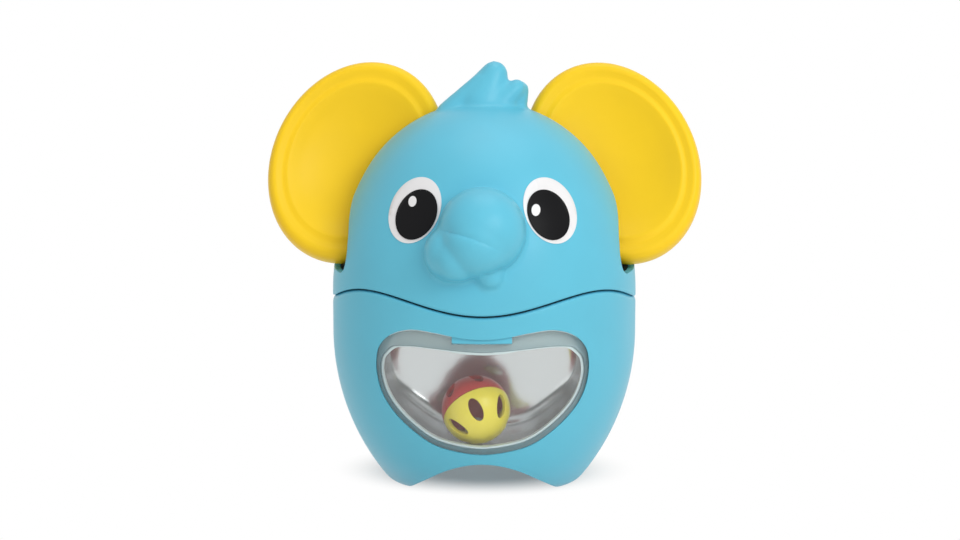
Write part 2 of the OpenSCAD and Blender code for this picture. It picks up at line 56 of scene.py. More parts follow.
FOOT_X = 31.0
ARCH_H = 16.6
ARCH_TOP_R = 26.0
ROCKER_R = 150.0
ROCK_H = 16.0
FOOT_FLAT = 6.0
HEAD_ARC_Z = 73.0
HEAD_TOP_R = 51.5
WINDOW_HALF_W = 38.6
WINDOW_H = 46.9
WINDOW_Z = 20.6

# Raw heights that later cuts trim, how far the cutting tools reach, and the steps of the large round pieces
CUP_TOP = 86.0
BAND_TOP = 80.0
DOME_LOW = 66.0
HOLLOW_LOW = 60.0
SEAM_OVER = 95.0
SEAM_UNDER = 50.0
FLOOR_CUT = -6.0
REACH = 70.0
FRONT_END = -10.0
OVERRUN = 4.0
FINE_STEPS = 256

SIDE_X = SHELL_R - SIDE_ARC_R
RING_X = SIDE_X + sqrt((SIDE_ARC_R - FOOT_TIP_R) ** 2 - (BODY_ARC_Z - FOOT_TIP_R) ** 2)
RING_TURN = asin((BODY_ARC_Z - FOOT_TIP_R) / (SIDE_ARC_R - FOOT_TIP_R))
HEAD_TURN = acos((SIDE_ARC_R - SHELL_R) / (SIDE_ARC_R - HEAD_TOP_R))
HEAD_TOP_Z = HEAD_ARC_Z + (SIDE_ARC_R - HEAD_TOP_R) * sin(HEAD_TURN)


def arc(x, z, r, start, end, steps):
    turns = [start + (end - start) * i / steps for i in range(steps + 1)]
    return [(x + r * cos(a), z + r * sin(a)) for a in turns]


def body_section(off, top):
    return ([(0, off)] + arc(RING_X, FOOT_TIP_R, FOOT_TIP_R - off, -pi / 2, -RING_TURN, 8)
            + arc(SIDE_X, BODY_ARC_Z, SIDE_ARC_R - off, -RING_TURN, 0, 40)[1:]
            + [(SHELL_R - off, BODY_ARC_Z + (top - BODY_ARC_Z) * i / 8) for i in range(1, 9)] + [(0, top)])


def head_section(off, low):
    return ([(0, low), (SHELL_R - off, low)] + arc(SIDE_X, HEAD_ARC_Z, SIDE_ARC_R - off, 0, HEAD_TURN, 32)
            + arc(0, HEAD_TOP_Z, HEAD_TOP_R - off, HEAD_TURN, pi / 2, 36)[1:])


def body_r(z, off):
    if z > BODY_ARC_Z:
        return SHELL_R - off
    return SIDE_X + sqrt((SIDE_ARC_R - off) ** 2 - (BODY_ARC_Z - z) ** 2)


def smooth_line(points, steps, closed):
    """Points on a smooth curve through the given ones."""
    n = len(points)
    line = []
    for i in range(n if closed else n - 1):
        p, q, r, s = [points[k % n] if closed else points[min(max(k, 0), n - 1)] for k in range(i - 1, i + 3)]
        for k in range(steps):
            t = k / steps
            line.append(tuple(0.5 * (2 * b + (c - a) * t + (2 * a - 5 * b + 4 * c - d) * t * t
                                     + (3 * b - a - 3 * c + d) * t ** 3) for a, b, c, d in zip(p, q, r, s)))
    return line if closed else line + [points[-1]]


def grown(outline, d):
    """A closed anticlockwise outline moved outwards by d."""
    n = len(outline)
    moved = []
    for i in range(n):
        tx = outline[(i + 1) % n][0] - outline[i - 1][0]
        tz = outline[(i + 1) % n][1] - outline[i - 1][1]
        size = hypot(tx, tz)
        moved.append((outline[i][0] + d * tz / size, outline[i][1] - d * tx / size))
    return moved


# The kidney window: shares of its half width and its height, from the bottom round to the top
WINDOW_SHARES = [(0, 0), (0.32, 0.036), (0.51, 0.094), (0.71, 0.213), (0.855, 0.335), (0.945, 0.455),
                 (0.99, 0.58), (1, 0.71), (0.965, 0.84), (0.85, 0.945), (0.655, 1), (0.41, 0.985),
                 (0.2, 0.955), (0, 0.945)]
WINDOW_SIDE = [(x * WINDOW_HALF_W, WINDOW_Z + z * WINDOW_H) for x, z in WINDOW_SHARES]
WINDOW_TOP = WINDOW_SIDE[-1][1]
WINDOW = smooth_line(WINDOW_SIDE + [(-x, z) for x, z in WINDOW_SIDE[-2:0:-1]], 6, True)


def mesh_piece(name, bm):
    mesh = bpy.data.meshes.new(name)
    bm.to_mesh(mesh)
    bm.free()
    piece = bpy.data.objects.new(name, mesh)
    bpy.context.collection.objects.link(piece)
    return piece


def spin_into(bm, section, steps):
    """Turns a section round the Z axis into a closed solid."""
    verts = [bm.verts.new((x, 0, z)) for x, z in section]
    edges = [bm.edges.new(pair) for pair in zip(verts, verts[1:])]
    bmesh.ops.spin(bm, geom=verts + edges, cent=(0, 0, 0), axis=(0, 0, 1), angle=2 * pi, steps=steps,
                   use_merge=True)
    bmesh.ops.remove_doubles(bm, verts=bm.verts, dist=0.001)
    bmesh.ops.recalc_face_normals(bm, faces=bm.faces)


def spun(name, section, steps=192):
    bm = bmesh.new()
    spin_into(bm, section, steps)
    return mesh_piece(name, bm)


def drawn_out(name, corners, along):
    """A flat outline drawn out into a closed solid."""
    bm = bmesh.new()
    face = bm.faces.new([bm.verts.new(at) for at in corners])
    made = bmesh.ops.extrude_face_region(bm, geom=[face])
    far = [v for v in made["geom"] if isinstance(v, bmesh.types.BMVert)]
    bmesh.ops.translate(bm, verts=far, vec=along)
    bmesh.ops.recalc_face_normals(bm, faces=bm.faces)
    return mesh_piece(name, bm)


def bar(name, outline, end=REACH):
    """A front-view outline drawn out along Y, from in front of the toy to end."""
    return drawn_out(name, [(x, -REACH, z) for x, z in outline], (0, end + REACH, 0))


def join_into(bm, other):
    """Adds a finished mesh to another one."""
    mesh = bpy.data.meshes.new("join")
    other.to_mesh(mesh)
    other.free()
    bm.from_mesh(mesh)
    bpy.data.meshes.remove(mesh)


def settled(piece):
    """Applies the modifiers of a piece to its mesh."""
    graph = bpy.context.evaluated_depsgraph_get()
    mesh = bpy.data.meshes.new_from_object(piece.evaluated_get(graph))
    piece.modifiers.clear()
    piece.data = mesh
    return piece


def cut(piece, tool, how="DIFFERENCE"):
    step = piece.modifiers.new("cut", "BOOLEAN")
    step.object = tool
    step.operation = how
    step.solver = "EXACT"
    settled(piece)
    bpy.data.objects.remove(tool)
    return piece


def place(piece, material, slot, body, *nodes, sharp=35):
    """Moves a piece from millimetres about the toy's axis into the frame and hands it over."""
    piece.data.transform(Matrix.Scale(0.001, 4) @ Matrix.Translation((0, AXIS_Y, 0)))
    piece.data.materials.clear()
    piece.data.materials.append(material)
    piece.data.shade_smooth()
    piece.data.set_sharp_from_angle(angle=radians(sharp))
    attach(piece, body)
    if nodes:
        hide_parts(*nodes)
    return piece


# Materials

def nodes_of(name):
    material = bpy.data.materials.new(name)
    material.use_nodes = True
    tree = material.node_tree
    return material, tree, tree.nodes["Principled BSDF"]


def moulded_group():
    """Fine unevenness of moulded plastic: a slight change of colour, of gloss and of the surface."""
    group = bpy.data.node_groups.new("Moulded surface", "ShaderNodeTree")
    sockets = group.interface
    colour_in = sockets.new_socket("Colour", in_out="INPUT", socket_type="NodeSocketColor")
    colour_in.default_value = (0.5, 0.5, 0.5, 1)
    for name, value in (("Smooth", 0.25), ("Rough", 0.35), ("Grain", 0.1)):
        sockets.new_socket(name, in_out="INPUT", socket_type="NodeSocketFloat").default_value = value
    sockets.new_socket("Colour", in_out="OUTPUT", socket_type="NodeSocketColor")
    for name in ("Roughness", "Height"):
        sockets.new_socket(name, in_out="OUTPUT", socket_type="NodeSocketFloat")
    new, link = group.nodes.new, group.links.new
    given = new("NodeGroupInput")
    out = new("NodeGroupOutput")
    where = new("ShaderNodeTexCoord")
    cloud = new("ShaderNodeTexNoise")
    cloud.inputs["Scale"].default_value = 38
    cloud.inputs["Detail"].default_value = 3
    fine = new("ShaderNodeTexNoise")
    fine.inputs["Scale"].default_value = 2600
    fine.inputs["Detail"].default_value = 2
    for texture in (cloud, fine):
        link(where.outputs["Object"], texture.inputs["Vector"])
    shade = new("ShaderNodeMapRange")
    shade.inputs["To Min"].default_value = 0.975
    shade.inputs["To Max"].default_value = 1.025
    gloss = new("ShaderNodeMapRange")
    for spread in (shade, gloss):
        spread.inputs["From Min"].default_value = 0.3
        spread.inputs["From Max"].default_value = 0.7
        link(cloud.outputs["Fac"], spread.inputs["Value"])
    tint = new("ShaderNodeVectorMath")
    tint.operation = "SCALE"
    link(given.outputs["Colour"], tint.inputs[0])
    link(shade.outputs["Result"], tint.inputs["Scale"])
    link(tint.outputs["Vector"], out.inputs["Colour"])
    link(given.outputs["Smooth"], gloss.inputs["To Min"])
    link(given.outputs["Rough"], gloss.inputs["To Max"])
    link(gloss.outputs["Result"], out.inputs["Roughness"])
    rise = new("ShaderNodeMath")
    rise.operation = "MULTIPLY"
    link(fine.outputs["Fac"], rise.inputs[0])
    link(given.outputs["Grain"], rise.inputs[1])
    link(rise.outputs["Value"], out.inputs["Height"])
    return group


MOULDED = moulded_group()


def plastic(name, colour, smooth, rough, grain, edge=0.0005, shine=0.5):
    """Moulded plastic; edge is the radius in metres at which its edges look rounded, or 0."""
    material, tree, shader = nodes_of(name)
    surface = tree.nodes.new("ShaderNodeGroup")
    surface.node_tree = MOULDED
    surface.inputs["Colour"].default_value = (*colour, 1)
    surface.inputs["Smooth"].default_value = smooth
    surface.inputs["Rough"].default_value = rough
    surface.inputs["Grain"].default_value = grain
    bump = tree.nodes.new("ShaderNodeBump")
    bump.inputs["Strength"].default_value = 0.15
    bump.inputs["Distance"].default_value = 0.0001
    link = tree.links.new
    link(surface.outputs["Colour"], shader.inputs["Base Color"])
    link(surface.outputs["Roughness"], shader.inputs["Roughness"])
    link(surface.outputs["Height"], bump.inputs["Height"])
    if edge:
        soft = tree.nodes.new("ShaderNodeBevel")
        soft.samples = 6
        soft.inputs["Radius"].default_value = edge
        link(soft.outputs["Normal"], bump.inputs["Normal"])
    link(bump.outputs["Normal"], shader.inputs["Normal"])
    shader.inputs["IOR"].default_value = 1.5
    shader.inputs["Specular IOR Level"].default_value = shine
    return material


# Plastics: colour, least and most roughness, and grain
blue_plastic = plastic("blue plastic", (0.119, 0.522, 0.695), 0.32, 0.42, 0.5, shine=0.32)
yellow_plastic = plastic("yellow plastic", (0.950, 0.620, 0.014), 0.36, 0.46, 0.4, edge=0, shine=0.25)
white_plastic = plastic("white of the eyes", (0.82, 0.82, 0.83), 0.22, 0.30, 0.2, edge=0.0002)
black_plastic = plastic("black of the eyes", (0.005, 0.005, 0.006), 0.30, 0.40, 0.6, edge=0.0002, shine=0.10)
ball_yellow_plastic = plastic("yellow of the ball", (0.80, 0.68, 0.05), 0.25, 0.35, 0.3, edge=0.0003)
ball_red_plastic = plastic("red of the ball", (0.50, 0.035, 0.028), 0.25, 0.35, 0.3, edge=0.0003)
seat_plastic = plastic("grey of the bowl rim", (0.36, 0.46, 0.48), 0.35, 0.45, 0.3, edge=0)
# The lip's pale colour is a painted highlight: it makes the bright line of light inside the window cover's
# edge
highlight_lip_plastic = plastic("lip of the bowl, pale for a painted highlight", (0.62, 0.72, 0.74), 0.25, 0.35, 0.3, edge=0.0003)
dark_plastic = plastic("dark inner plastic", (0.012, 0.022, 0.030), 0.40, 0.55, 0.4, edge=0)


def metal(name, colour, roughness, scratch, share=1.0):
    """Metal or a silvered skin, with a gloss that changes a little over the surface."""
    material, tree, shader = nodes_of(name)
    where = tree.nodes.new("ShaderNodeTexCoord")
    cloud = tree.nodes.new("ShaderNodeTexNoise")
    cloud.inputs["Scale"].default_value = scratch
    cloud.inputs["Detail"].default_value = 4
    gloss = tree.nodes.new("ShaderNodeMapRange")
    gloss.inputs["To Min"].default_value = roughness * 0.8
    gloss.inputs["To Max"].default_value = roughness * 1.25
    tree.links.new(where.outputs["Object"], cloud.inputs["Vector"])
    tree.links.new(cloud.outputs["Fac"], gloss.inputs["Value"])
    tree.links.new(gloss.outputs["Result"], shader.inputs["Roughness"])
    shader.inputs["Base Color"].default_value = (*colour, 1)
    shader.inputs["Metallic"].default_value = share
    return material


# Metals: colour, roughness, and how fine its changes are
silvered = metal("silvered plastic", (0.70, 0.71, 0.72), 0.15, 60, share=0.8)
steel = metal("plain steel", (0.60, 0.60, 0.60), 0.35, 400)
iron = metal("cast iron", (0.16, 0.16, 0.16), 0.6, 200)


def clear_plastic():
    """Clear plastic that lets light, and what the bowl mirrors, pass straight through."""
    material, tree, shader = nodes_of("clear plastic")
    where = tree.nodes.new("ShaderNodeTexCoord")
    cloud = tree.nodes.new("ShaderNodeTexNoise")
    cloud.inputs["Scale"].default_value = 30
    haze = tree.nodes.new("ShaderNodeMapRange")
    haze.inputs["To Min"].default_value = 0.04
    haze.inputs["To Max"].default_value = 0.10
    tree.links.new(where.outputs["Object"], cloud.inputs["Vector"])
    tree.links.new(cloud.outputs["Fac"], haze.inputs["Value"])
    tree.links.new(haze.outputs["Result"], shader.inputs["Roughness"])
    shader.inputs["Base Color"].default_value = (0.93, 0.97, 0.96, 1)
    shader.inputs["Transmission Weight"].default_value = 1
    shader.inputs["IOR"].default_value = 1.46
    path = tree.nodes.new("ShaderNodeLightPath")
    light = tree.nodes.new("ShaderNodeMath")
    light.operation = "MAXIMUM"
    mirrored = tree.nodes.new("ShaderNodeMath")
    mirrored.operation = "SUBTRACT"
    either = tree.nodes.new("ShaderNodeMath")
    either.operation = "MAXIMUM"
    through = tree.nodes.new("ShaderNodeBsdfTransparent")
    mix = tree.nodes.new("ShaderNodeMixShader")
    tree.links.new(path.outputs["Is Shadow Ray"], light.inputs[0])
    tree.links.new(path.outputs["Is Diffuse Ray"], light.inputs[1])
    tree.links.new(path.outputs["Is Glossy Ray"], mirrored.inputs[0])
    tree.links.new(path.outputs["Is Transmission Ray"], mirrored.inputs[1])
    tree.links.new(light.outputs["Value"], either.inputs[0])
    tree.links.new(mirrored.outputs["Value"], either.inputs[1])
    tree.links.new(either.outputs["Value"], mix.inputs["Fac"])
    tree.links.new(shader.outputs["BSDF"], mix.inputs[1])
    tree.links.new(through.outputs["BSDF"], mix.inputs[2])
    tree.links.new(mix.outputs["Shader"], tree.nodes["Material Output"].inputs["Surface"])
    return material


clear = clear_plastic()


# Body: a spun cup, cut by the arch between the feet, the window with its holding tab and the waved seam

def seam_z(a):
    """Height of the seam's middle at an angle from the front."""
    return SEAM_Z - SEAM_WAVE * cos(SEAM_WAVES * a) - SEAM_DIP * sin(a) ** SEAM_DIP_POWER


def seam_bar(up):
    """What lies past a shell's edge at the seam: below the head's with up 1, above the body's with up -1."""
    lift, end = up * SEAM_GAP / 2, SEAM_UNDER if up > 0 else SEAM_OVER
    wave = [(SHELL_R * sin(radians(a)), seam_z(radians(a)) + lift) for a in range(-90, 91, 2)]
    outline = [(-REACH, wave[0][1])] + wave + [(REACH, wave[-1][1]), (REACH, end), (-REACH, end)]
    return bar("seam tool", outline[::-1] if up > 0 else outline)


def seam_round(up):
    """A ring that rounds a shell's edge along the seam: the head's with up 1, the body's with up -1."""
    mid_x, mid_z, past = SHELL_R - SEAM_ROUND, up * SEAM_ROUND, 1.0
    section = arc(mid_x, mid_z, SEAM_ROUND, 0, -up * pi / 2, 8)
    section += [(mid_x, -up * past), (SHELL_R + past, -up * past), (SHELL_R + past, mid_z), section[0]]
    ring = spun("seam tool", section, FINE_STEPS)
    for v in ring.data.vertices:
        v.co.z += seam_z(asin(min(1.0, max(-1.0, v.co.x / SHELL_R)))) + up * SEAM_GAP / 2
    return ring


def arch_outline(off):
    """The space between the feet, made wider by off: a round top that runs into the feet's inner sides."""
    dx, dz = FOOT_X, FOOT_IN_R - ARCH_H + ARCH_TOP_R
    slope = asin((ARCH_TOP_R + FOOT_IN_R) / hypot(dx, dz)) - atan2(dz, dx)
    half = (arc(0, ARCH_H - ARCH_TOP_R, ARCH_TOP_R + off, pi / 2, pi / 2 - slope, 16)
            + arc(FOOT_X, FOOT_IN_R, FOOT_IN_R - off, 1.5 * pi - slope, 1.5 * pi, 12))
    other = [(-x, z) for x, z in reversed(half)]
    return ([(-FOOT_X, FLOOR_CUT)] + other + half[1:] + [(FOOT_X, FLOOR_CUT)])[::-1]


def rocked(piece):
    """Bends the feet up a little towards the front and the back, so that they rock."""
    for v in piece.data.vertices:
        low = max(0.0, 1 - v.co.z / ROCK_H)
        reach = max(0.0, abs(v.co.y) - FOOT_FLAT / 2)
        v.co.z += low * low * reach * reach / (2 * ROCKER_R)
    return piece


TAB_HALF_W = 10.8
TAB_H = 1.6
TAB_IN = 0.9


def tab_bar(gap):
    """The zone of the tab that holds the window's cover at the top."""
    half, low, high = TAB_HALF_W + gap, WINDOW_TOP - TAB_H - gap, WINDOW_TOP + OVERRUN
    return bar("tab zone", [(-half, low), (half, low), (half, high), (-half, high)], FRONT_END)


def make_body():
    body = spun("body", body_section(0, CUP_TOP), FINE_STEPS)
    cut(body, bar("arch tool", arch_outline(0)))
    rocked(body)
    hollow = spun("hollow tool", body_section(WALL, CUP_TOP + OVERRUN))
    cut(hollow, bar("arch tool", arch_outline(WALL)))
    cut(body, rocked(hollow))
    window = bar("window tool", WINDOW, FRONT_END)
    cut(window, cut(spun("tab tool", body_section(TAB_IN, BAND_TOP), FINE_STEPS), tab_bar(0), "INTERSECT"))
    cut(body, window)
    cut(body, seam_bar(-1))
    cut(body, seam_round(-1))
    return place(body, blue_plastic, "shell_blue", "toy", "body_shell")


# Head: dome, trunk lobes and hair tuft melted into one skin, then hollowed, slotted and trimmed to the seam

# Round lobes of the curled trunk: the middle and the radius
TRUNK = [((0, -53, 103.7), 15.8),
         ((-1.4, -57, 100.8), 13.0),
         ((-10.4, -53.4, 96.0), 10.4),
         ((-8.7, -57, 95.1), 9.0),
         ((2.9, -54.8, 88.0), 5.1)]
# Tapered lobes of the hair tuft: the root, the tip and the radius at each
TUFT = [((-1.0, 2.5, 142.3), (3.7, 3, 154.0), 10.0, 5.0),
        ((-12.5, -0.5, 138.9), (-1.8, 0.5, 151.3), 5.8, 3.2),
        ((4.2, -1.0, 142.0), (12.0, 0.5, 149.2), 5.6, 3.35),
        ((11.3, 3, 140.5), (13.4, 3, 148.2), 4.5, 3.3)]
# Folds of the trunk: the line in the front view, the depth, and where along the line it fades in and out
FOLDS = [([(-15.4, 104.9), (-10.0, 105.0), (-5.3, 104.2), (-0.4, 102.6), (4.6, 100.2), (8.7, 97.8)],
          1.0, 0.12, 0.4),
         ([(-0.6, 89.3), (3.1, 88.9), (6.6, 90.1), (8.6, 91.6)], 0.6, 0.1, 0.7)]
FOLD_SOFT = 2.2
FOLD_SHARP = 1.0
# The melted skin: its grid, how far from the trunk it is made finer and smoothed, and where it is plain dome
MELT_SIZE = 0.85
TRUNK_BACK_Y = -44.0
TRUNK_FINER = 4.0
TRUNK_SMOOTHER = 3.0
DOME_EDGE_Z = 68.0
DOME_NEAR = 1.6
LOBE_NEAR = 1.0
LOBE_FADE = 2.5


def lobe_into(bm, root, tip, r1, r2):
    """Adds a tapered lobe with round ends."""
    made = bmesh.new()
    length = (Vector(tip) - Vector(root)).length
    turn = asin((r1 - r2) / length)
    spin_into(made, arc(0, 0, r1, -pi / 2, turn, 14) + arc(0, length, r2, turn, pi / 2, 10), steps=40)
    lean = Vector((0, 0, 1)).rotation_difference(Vector(tip) - Vector(root)).to_matrix().to_4x4()
    bmesh.ops.transform(made, matrix=Matrix.Translation(root) @ lean, verts=made.verts)
    join_into(bm, made)


def on_dome(co):
    """The nearest point of the plain dome."""
    r = hypot(co.x, co.y)
    if r < 0.01 or co.z > HEAD_TOP_Z and atan2(co.z - HEAD_TOP_Z, r) > HEAD_TURN:
        return Vector((0, 0, HEAD_TOP_Z)) + (co - Vector((0, 0, HEAD_TOP_Z))).normalized() * HEAD_TOP_R
    turn = max(0.0, atan2(co.z - HEAD_ARC_Z, r - SIDE_X))
    ring = SIDE_X + SIDE_ARC_R * cos(turn)
    z = HEAD_ARC_Z + SIDE_ARC_R * sin(turn) if co.z > HEAD_ARC_Z else co.z
    return Vector((co.x / r * ring, co.y / r * ring, z))


def trunk_gap(co):
    """Distance from the trunk."""
    return min((co - Vector(at)).length - r for at, r in TRUNK)


def nearest_on(line, x, z):
    """Distance from a line in the front view, the side of it, and the share of the way along it."""
    best = None
    for i in range(len(line) - 1):
        ax, az = line[i]
        dx, dz = line[i + 1][0] - ax, line[i + 1][1] - az
        t = min(1.0, max(0.0, ((x - ax) * dx + (z - az) * dz) / (dx * dx + dz * dz)))
        off = hypot(x - ax - t * dx, z - az - t * dz)
        if best is None or off < best[0]:
            best = (off, dx * (z - az) - dz * (x - ax), (i + t) / (len(line) - 1))
    return best


def press_folds(bm, verts):
    """Presses the folds into the trunk: a soft slope above each line and a sharper lip below it."""
    bm.normal_update()
    moves = []
    folds = [(smooth_line(line, 6, False), *rest) for line, *rest in FOLDS]
    for v in verts:
        depth = 0.0
        for line, deep, fade_in, fade_out in folds:
            off, side, along = nearest_on(line, v.co.x, v.co.z)
            fade = min(1.0, along / fade_in) * min(1.0, (1 - along) / (1 - fade_out))
            depth += deep * fade * exp(-off / (FOLD_SOFT if side > 0 else FOLD_SHARP))
        moves.append(-v.normal * depth)
    for v, move in zip(verts, moves):
        v.co += move


def clear_of_lobes(co):
    """Distance from the trunk and the tuft."""
    gaps = [trunk_gap(co)]
    for root, tip, r1, r2 in TUFT:
        a, b = Vector(root), Vector(tip)
        t = min(1.0, max(0.0, (co - a).dot(b - a) / (b - a).length_squared))
        gaps.append((co - a.lerp(b, t)).length - (r1 + (r2 - r1) * t))
    return min(gaps)


def smooth_out(bm, verts, passes):
    for _ in range(passes):
        bmesh.ops.smooth_vert(bm, verts=verts, factor=0.5, use_axis_x=True, use_axis_y=True, use_axis_z=True)


def trunk_verts(bm, reach):
    return [v for v in bm.verts if v.co.y < TRUNK_BACK_Y and trunk_gap(v.co) < reach]


def melted_head():
    """Dome, trunk and tuft as one rough skin."""
    bm = bmesh.new()
    spin_into(bm, head_section(0, DOME_LOW), steps=192)
    for at, r in TRUNK:
        bmesh.ops.create_uvsphere(bm, u_segments=64, v_segments=40, radius=r, matrix=Matrix.Translation(at))
    for lobe in TUFT:
        lobe_into(bm, *lobe)
    head = mesh_piece("head", bm)
    melt = head.modifiers.new("melt", "REMESH")
    melt.mode = "VOXEL"
    melt.voxel_size = MELT_SIZE
    return settled(head)


def refine_trunk(bm):
    """Gives the trunk a finer mesh, smooths it and presses its folds."""
    near = set(trunk_verts(bm, TRUNK_FINER))
    inside = [e for e in bm.edges if near.issuperset(e.verts)]
    bmesh.ops.subdivide_edges(bm, edges=inside, cuts=2, use_grid_fill=True, smooth=1.0)
    near = trunk_verts(bm, TRUNK_SMOOTHER)
    smooth_out(bm, near, passes=8)
    press_folds(bm, near)


def settle_dome(bm):
    """Moves the skin between the lobes onto the plain dome."""
    for v in bm.verts:
        plain = on_dome(v.co)
        if v.co.z < DOME_EDGE_Z or (plain - v.co).length > DOME_NEAR:
            continue
        share = min(1.0, max(0.0, (clear_of_lobes(v.co) - LOBE_NEAR) / LOBE_FADE))
        v.co = v.co.lerp(plain, share * share * (3 - 2 * share))


def make_head():
    head = melted_head()
    bm = bmesh.new()
    bm.from_mesh(head.data)
    smooth_out(bm, bm.verts, passes=5)
    refine_trunk(bm)
    settle_dome(bm)
    bm.to_mesh(head.data)
    bm.free()
    cut(head, spun("hollow tool", head_section(WALL, HOLLOW_LOW), steps=160))
    cut(head, seam_bar(1))
    cut(head, seam_round(1))
    for side in (-1, 1):
        cut(head, slot_tool(side))
    return place(head, blue_plastic, "shell_blue", "toy", "head_shell")


# Ears and their slots: ovals that lean outwards and back about the pivots
EAR_LONG = 39.7
EAR_SHORT = 31.9
EAR_HALF_T = 6.1
EAR_X = 48.1
EAR_Z = 120.6
EAR_LEAN = radians(24)
EAR_BACK = radians(20)
PIVOT_Y = 4.0
PIVOT_Z = 116.0
SLOT_SIDE = 2.0
SLOT_UNDER = 1.6
SLOT_IN = 3.2
SLOT_TOP = 150.0
SLOT_FLARE = 9.0
SLOT_FLARE_H = 27.0
EAR_DROP = EAR_Z - PIVOT_Z - hypot(EAR_LONG * cos(EAR_LEAN), EAR_SHORT * sin(EAR_LEAN))
EAR_IN_X = EAR_X - hypot(EAR_LONG * sin(EAR_LEAN), EAR_SHORT * cos(EAR_LEAN))
SLOT_LOW = PIVOT_Z + EAR_DROP * cos(EAR_BACK) - SLOT_UNDER
SLOT_HALF = (EAR_HALF_T + SLOT_SIDE) / cos(EAR_BACK)
# Front edge of a slot: shares of the flare's width and height, from the bottom up
FLARE = [(0.3, 0), (0.72, 0.07), (0.95, 0.22), (1, 0.37), (0.82, 0.62), (0, 1)]


def slot_tool(side):
    """An ear's slot, which leans back with the ear and flares at its lower front."""
    def middle(z):
        return PIVOT_Y + (z - PIVOT_Z) * tan(EAR_BACK)

    flare = [(SLOT_LOW + h * SLOT_FLARE_H, w * SLOT_FLARE) for w, h in smooth_line(FLARE, 8, False)]
    outline = [(middle(z) - SLOT_HALF - w, z) for z, w in flare]
    outline += [(middle(SLOT_TOP) - SLOT_HALF, SLOT_TOP), (middle(SLOT_TOP) + SLOT_HALF, SLOT_TOP),
                (middle(SLOT_LOW) + SLOT_HALF, SLOT_LOW)]
    inner = (EAR_IN_X - SLOT_IN) * side
    return drawn_out("slot tool", [(inner, y, z) for y, z in outline], (side * REACH - inner, 0, 0))


# An ear's section: shares of its radius and its half thickness, over the dished face and round the back
EAR_FACE = [(0, -0.1), (0.2, -0.06), (0.4, 0.12), (0.58, 0.42), (0.7, 0.72), (0.75, 0.85), (0.775, 0.89),
            (0.8, 0.87), (0.83, 0.86), (0.865, 0.93), (0.9, 1), (0.935, 0.98), (0.97, 0.8), (0.99, 0.52),
            (1, 0.15)]
EAR_REAR = [(1, -0.2), (0.985, -0.5), (0.95, -0.7), (0.88, -0.8), (0.7, -0.86), (0.4, -0.9), (0, -0.92)]


def make_ear(name, side, node):
    """A dished oval with a rolled rim and a groove inside the rim."""
    line = smooth_line([(r * EAR_SHORT, h * EAR_HALF_T) for r, h in EAR_FACE + EAR_REAR], 5, False)
    ear = spun(name, [(max(0.0, x), z) for x, z in line], steps=160)
    turn = (Matrix.Translation((0, PIVOT_Y, PIVOT_Z)) @ Matrix.Rotation(-EAR_BACK, 4, "X")
            @ Matrix.Translation((side * EAR_X, 0, EAR_Z - PIVOT_Z)) @ Matrix.Rotation(pi / 2, 4, "X")
            @ Matrix.Rotation(side * EAR_LEAN, 4, "Z") @ Matrix.Diagonal((1, EAR_LONG / EAR_SHORT, 1, 1)))
    ear.data.transform(turn)
    return place(ear, yellow_plastic, "ear_yellow", node, node, sharp=60)


# Eyes: thin oval layers that follow the dome

# Ovals: half height, half width, lean in degrees, and where the middle lies; eye and pupil are the left ones
EYE_OVAL = (12.2, 8.65, 31, 24.34, 109.5)
PUPIL_OVAL = (9.4, 6.8, 33.6, 23.74, 108.2)
GLINT_OVALS = [(1.85, 1.45, -20, -25.2, 112.6), (2.0, 1.6, 0, 19.2, 110.25)]
# How far a layer's face stands out of the dome, and how far its back lies behind the face
EYE_LAYER = (0.2, 0.7)
PUPIL_LAYER = (0.45, 0.2)
GLINT_LAYER = (0.7, 0.2)
OVAL_RINGS = 6
OVAL_RINGS_REACH = 0.95


def oval(bm, long, short, lean, x, z):
    """A flat oval of rings in the front view."""
    bmesh.ops.create_circle(bm, cap_ends=True, segments=64, radius=1)
    for _ in range(OVAL_RINGS):
        middle = [f for f in bm.faces if len(f.verts) > 4]
        bmesh.ops.inset_individual(bm, faces=middle, thickness=OVAL_RINGS_REACH / OVAL_RINGS,
                                   use_even_offset=True)
    turn = (Matrix.Translation((x, 0, z)) @ Matrix.Rotation(-radians(lean), 4, "Y")
            @ Matrix.Diagonal((short, 1, long, 1)) @ Matrix.Rotation(pi / 2, 4, "X"))
    bmesh.ops.transform(bm, matrix=turn, verts=bm.verts)


def dome_y(x, z, out):
    """How far in front the dome lies, moved outwards by out."""
    if z > HEAD_TOP_Z + (HEAD_TOP_R + out) * sin(HEAD_TURN):
        ring = sqrt((HEAD_TOP_R + out) ** 2 - (z - HEAD_TOP_Z) ** 2)
    else:
        ring = SIDE_X + sqrt((SIDE_ARC_R + out) ** 2 - (z - HEAD_ARC_Z) ** 2)
    return -sqrt(ring * ring - x * x)


def eye_layer(name, ovals, layer, material, slot, node):
    out, depth = layer
    bm = bmesh.new()
    for shape in ovals:
        part = bmesh.new()
        oval(part, *shape)
        made = bmesh.ops.extrude_face_region(part, geom=part.faces[:])
        behind = {v for v in made["geom"] if isinstance(v, bmesh.types.BMVert)}
        for v in part.verts:
            v.co.y = dome_y(v.co.x, v.co.z, out) + (depth if v in behind else 0)
        join_into(bm, part)
    bmesh.ops.recalc_face_normals(bm, faces=bm.faces)
    return place(mesh_piece(name, bm), material, slot, "toy", node, sharp=50)


def on_side(shape, side):
    long, short, lean, x, z = shape
    return long, short, side * lean, side * x, z


def make_eyes():
    for side, name in ((1, "left"), (-1, "right")):
        eye_layer(name + "_eye", [on_side(EYE_OVAL, side)], EYE_LAYER,
                  white_plastic, "eye_white", name + "_eye_white")
        eye_layer(name + "_eye_pupil", [on_side(PUPIL_OVAL, side)], PUPIL_LAYER,
                  black_plastic, "pupil_black", name + "_pupil")
    eye_layer("glints", GLINT_OVALS, GLINT_LAYER, white_plastic, "eye_white", "eye_glints")


# Window: a clear cover with a thick edge, the rim and lip behind that edge, and the silvered bowl

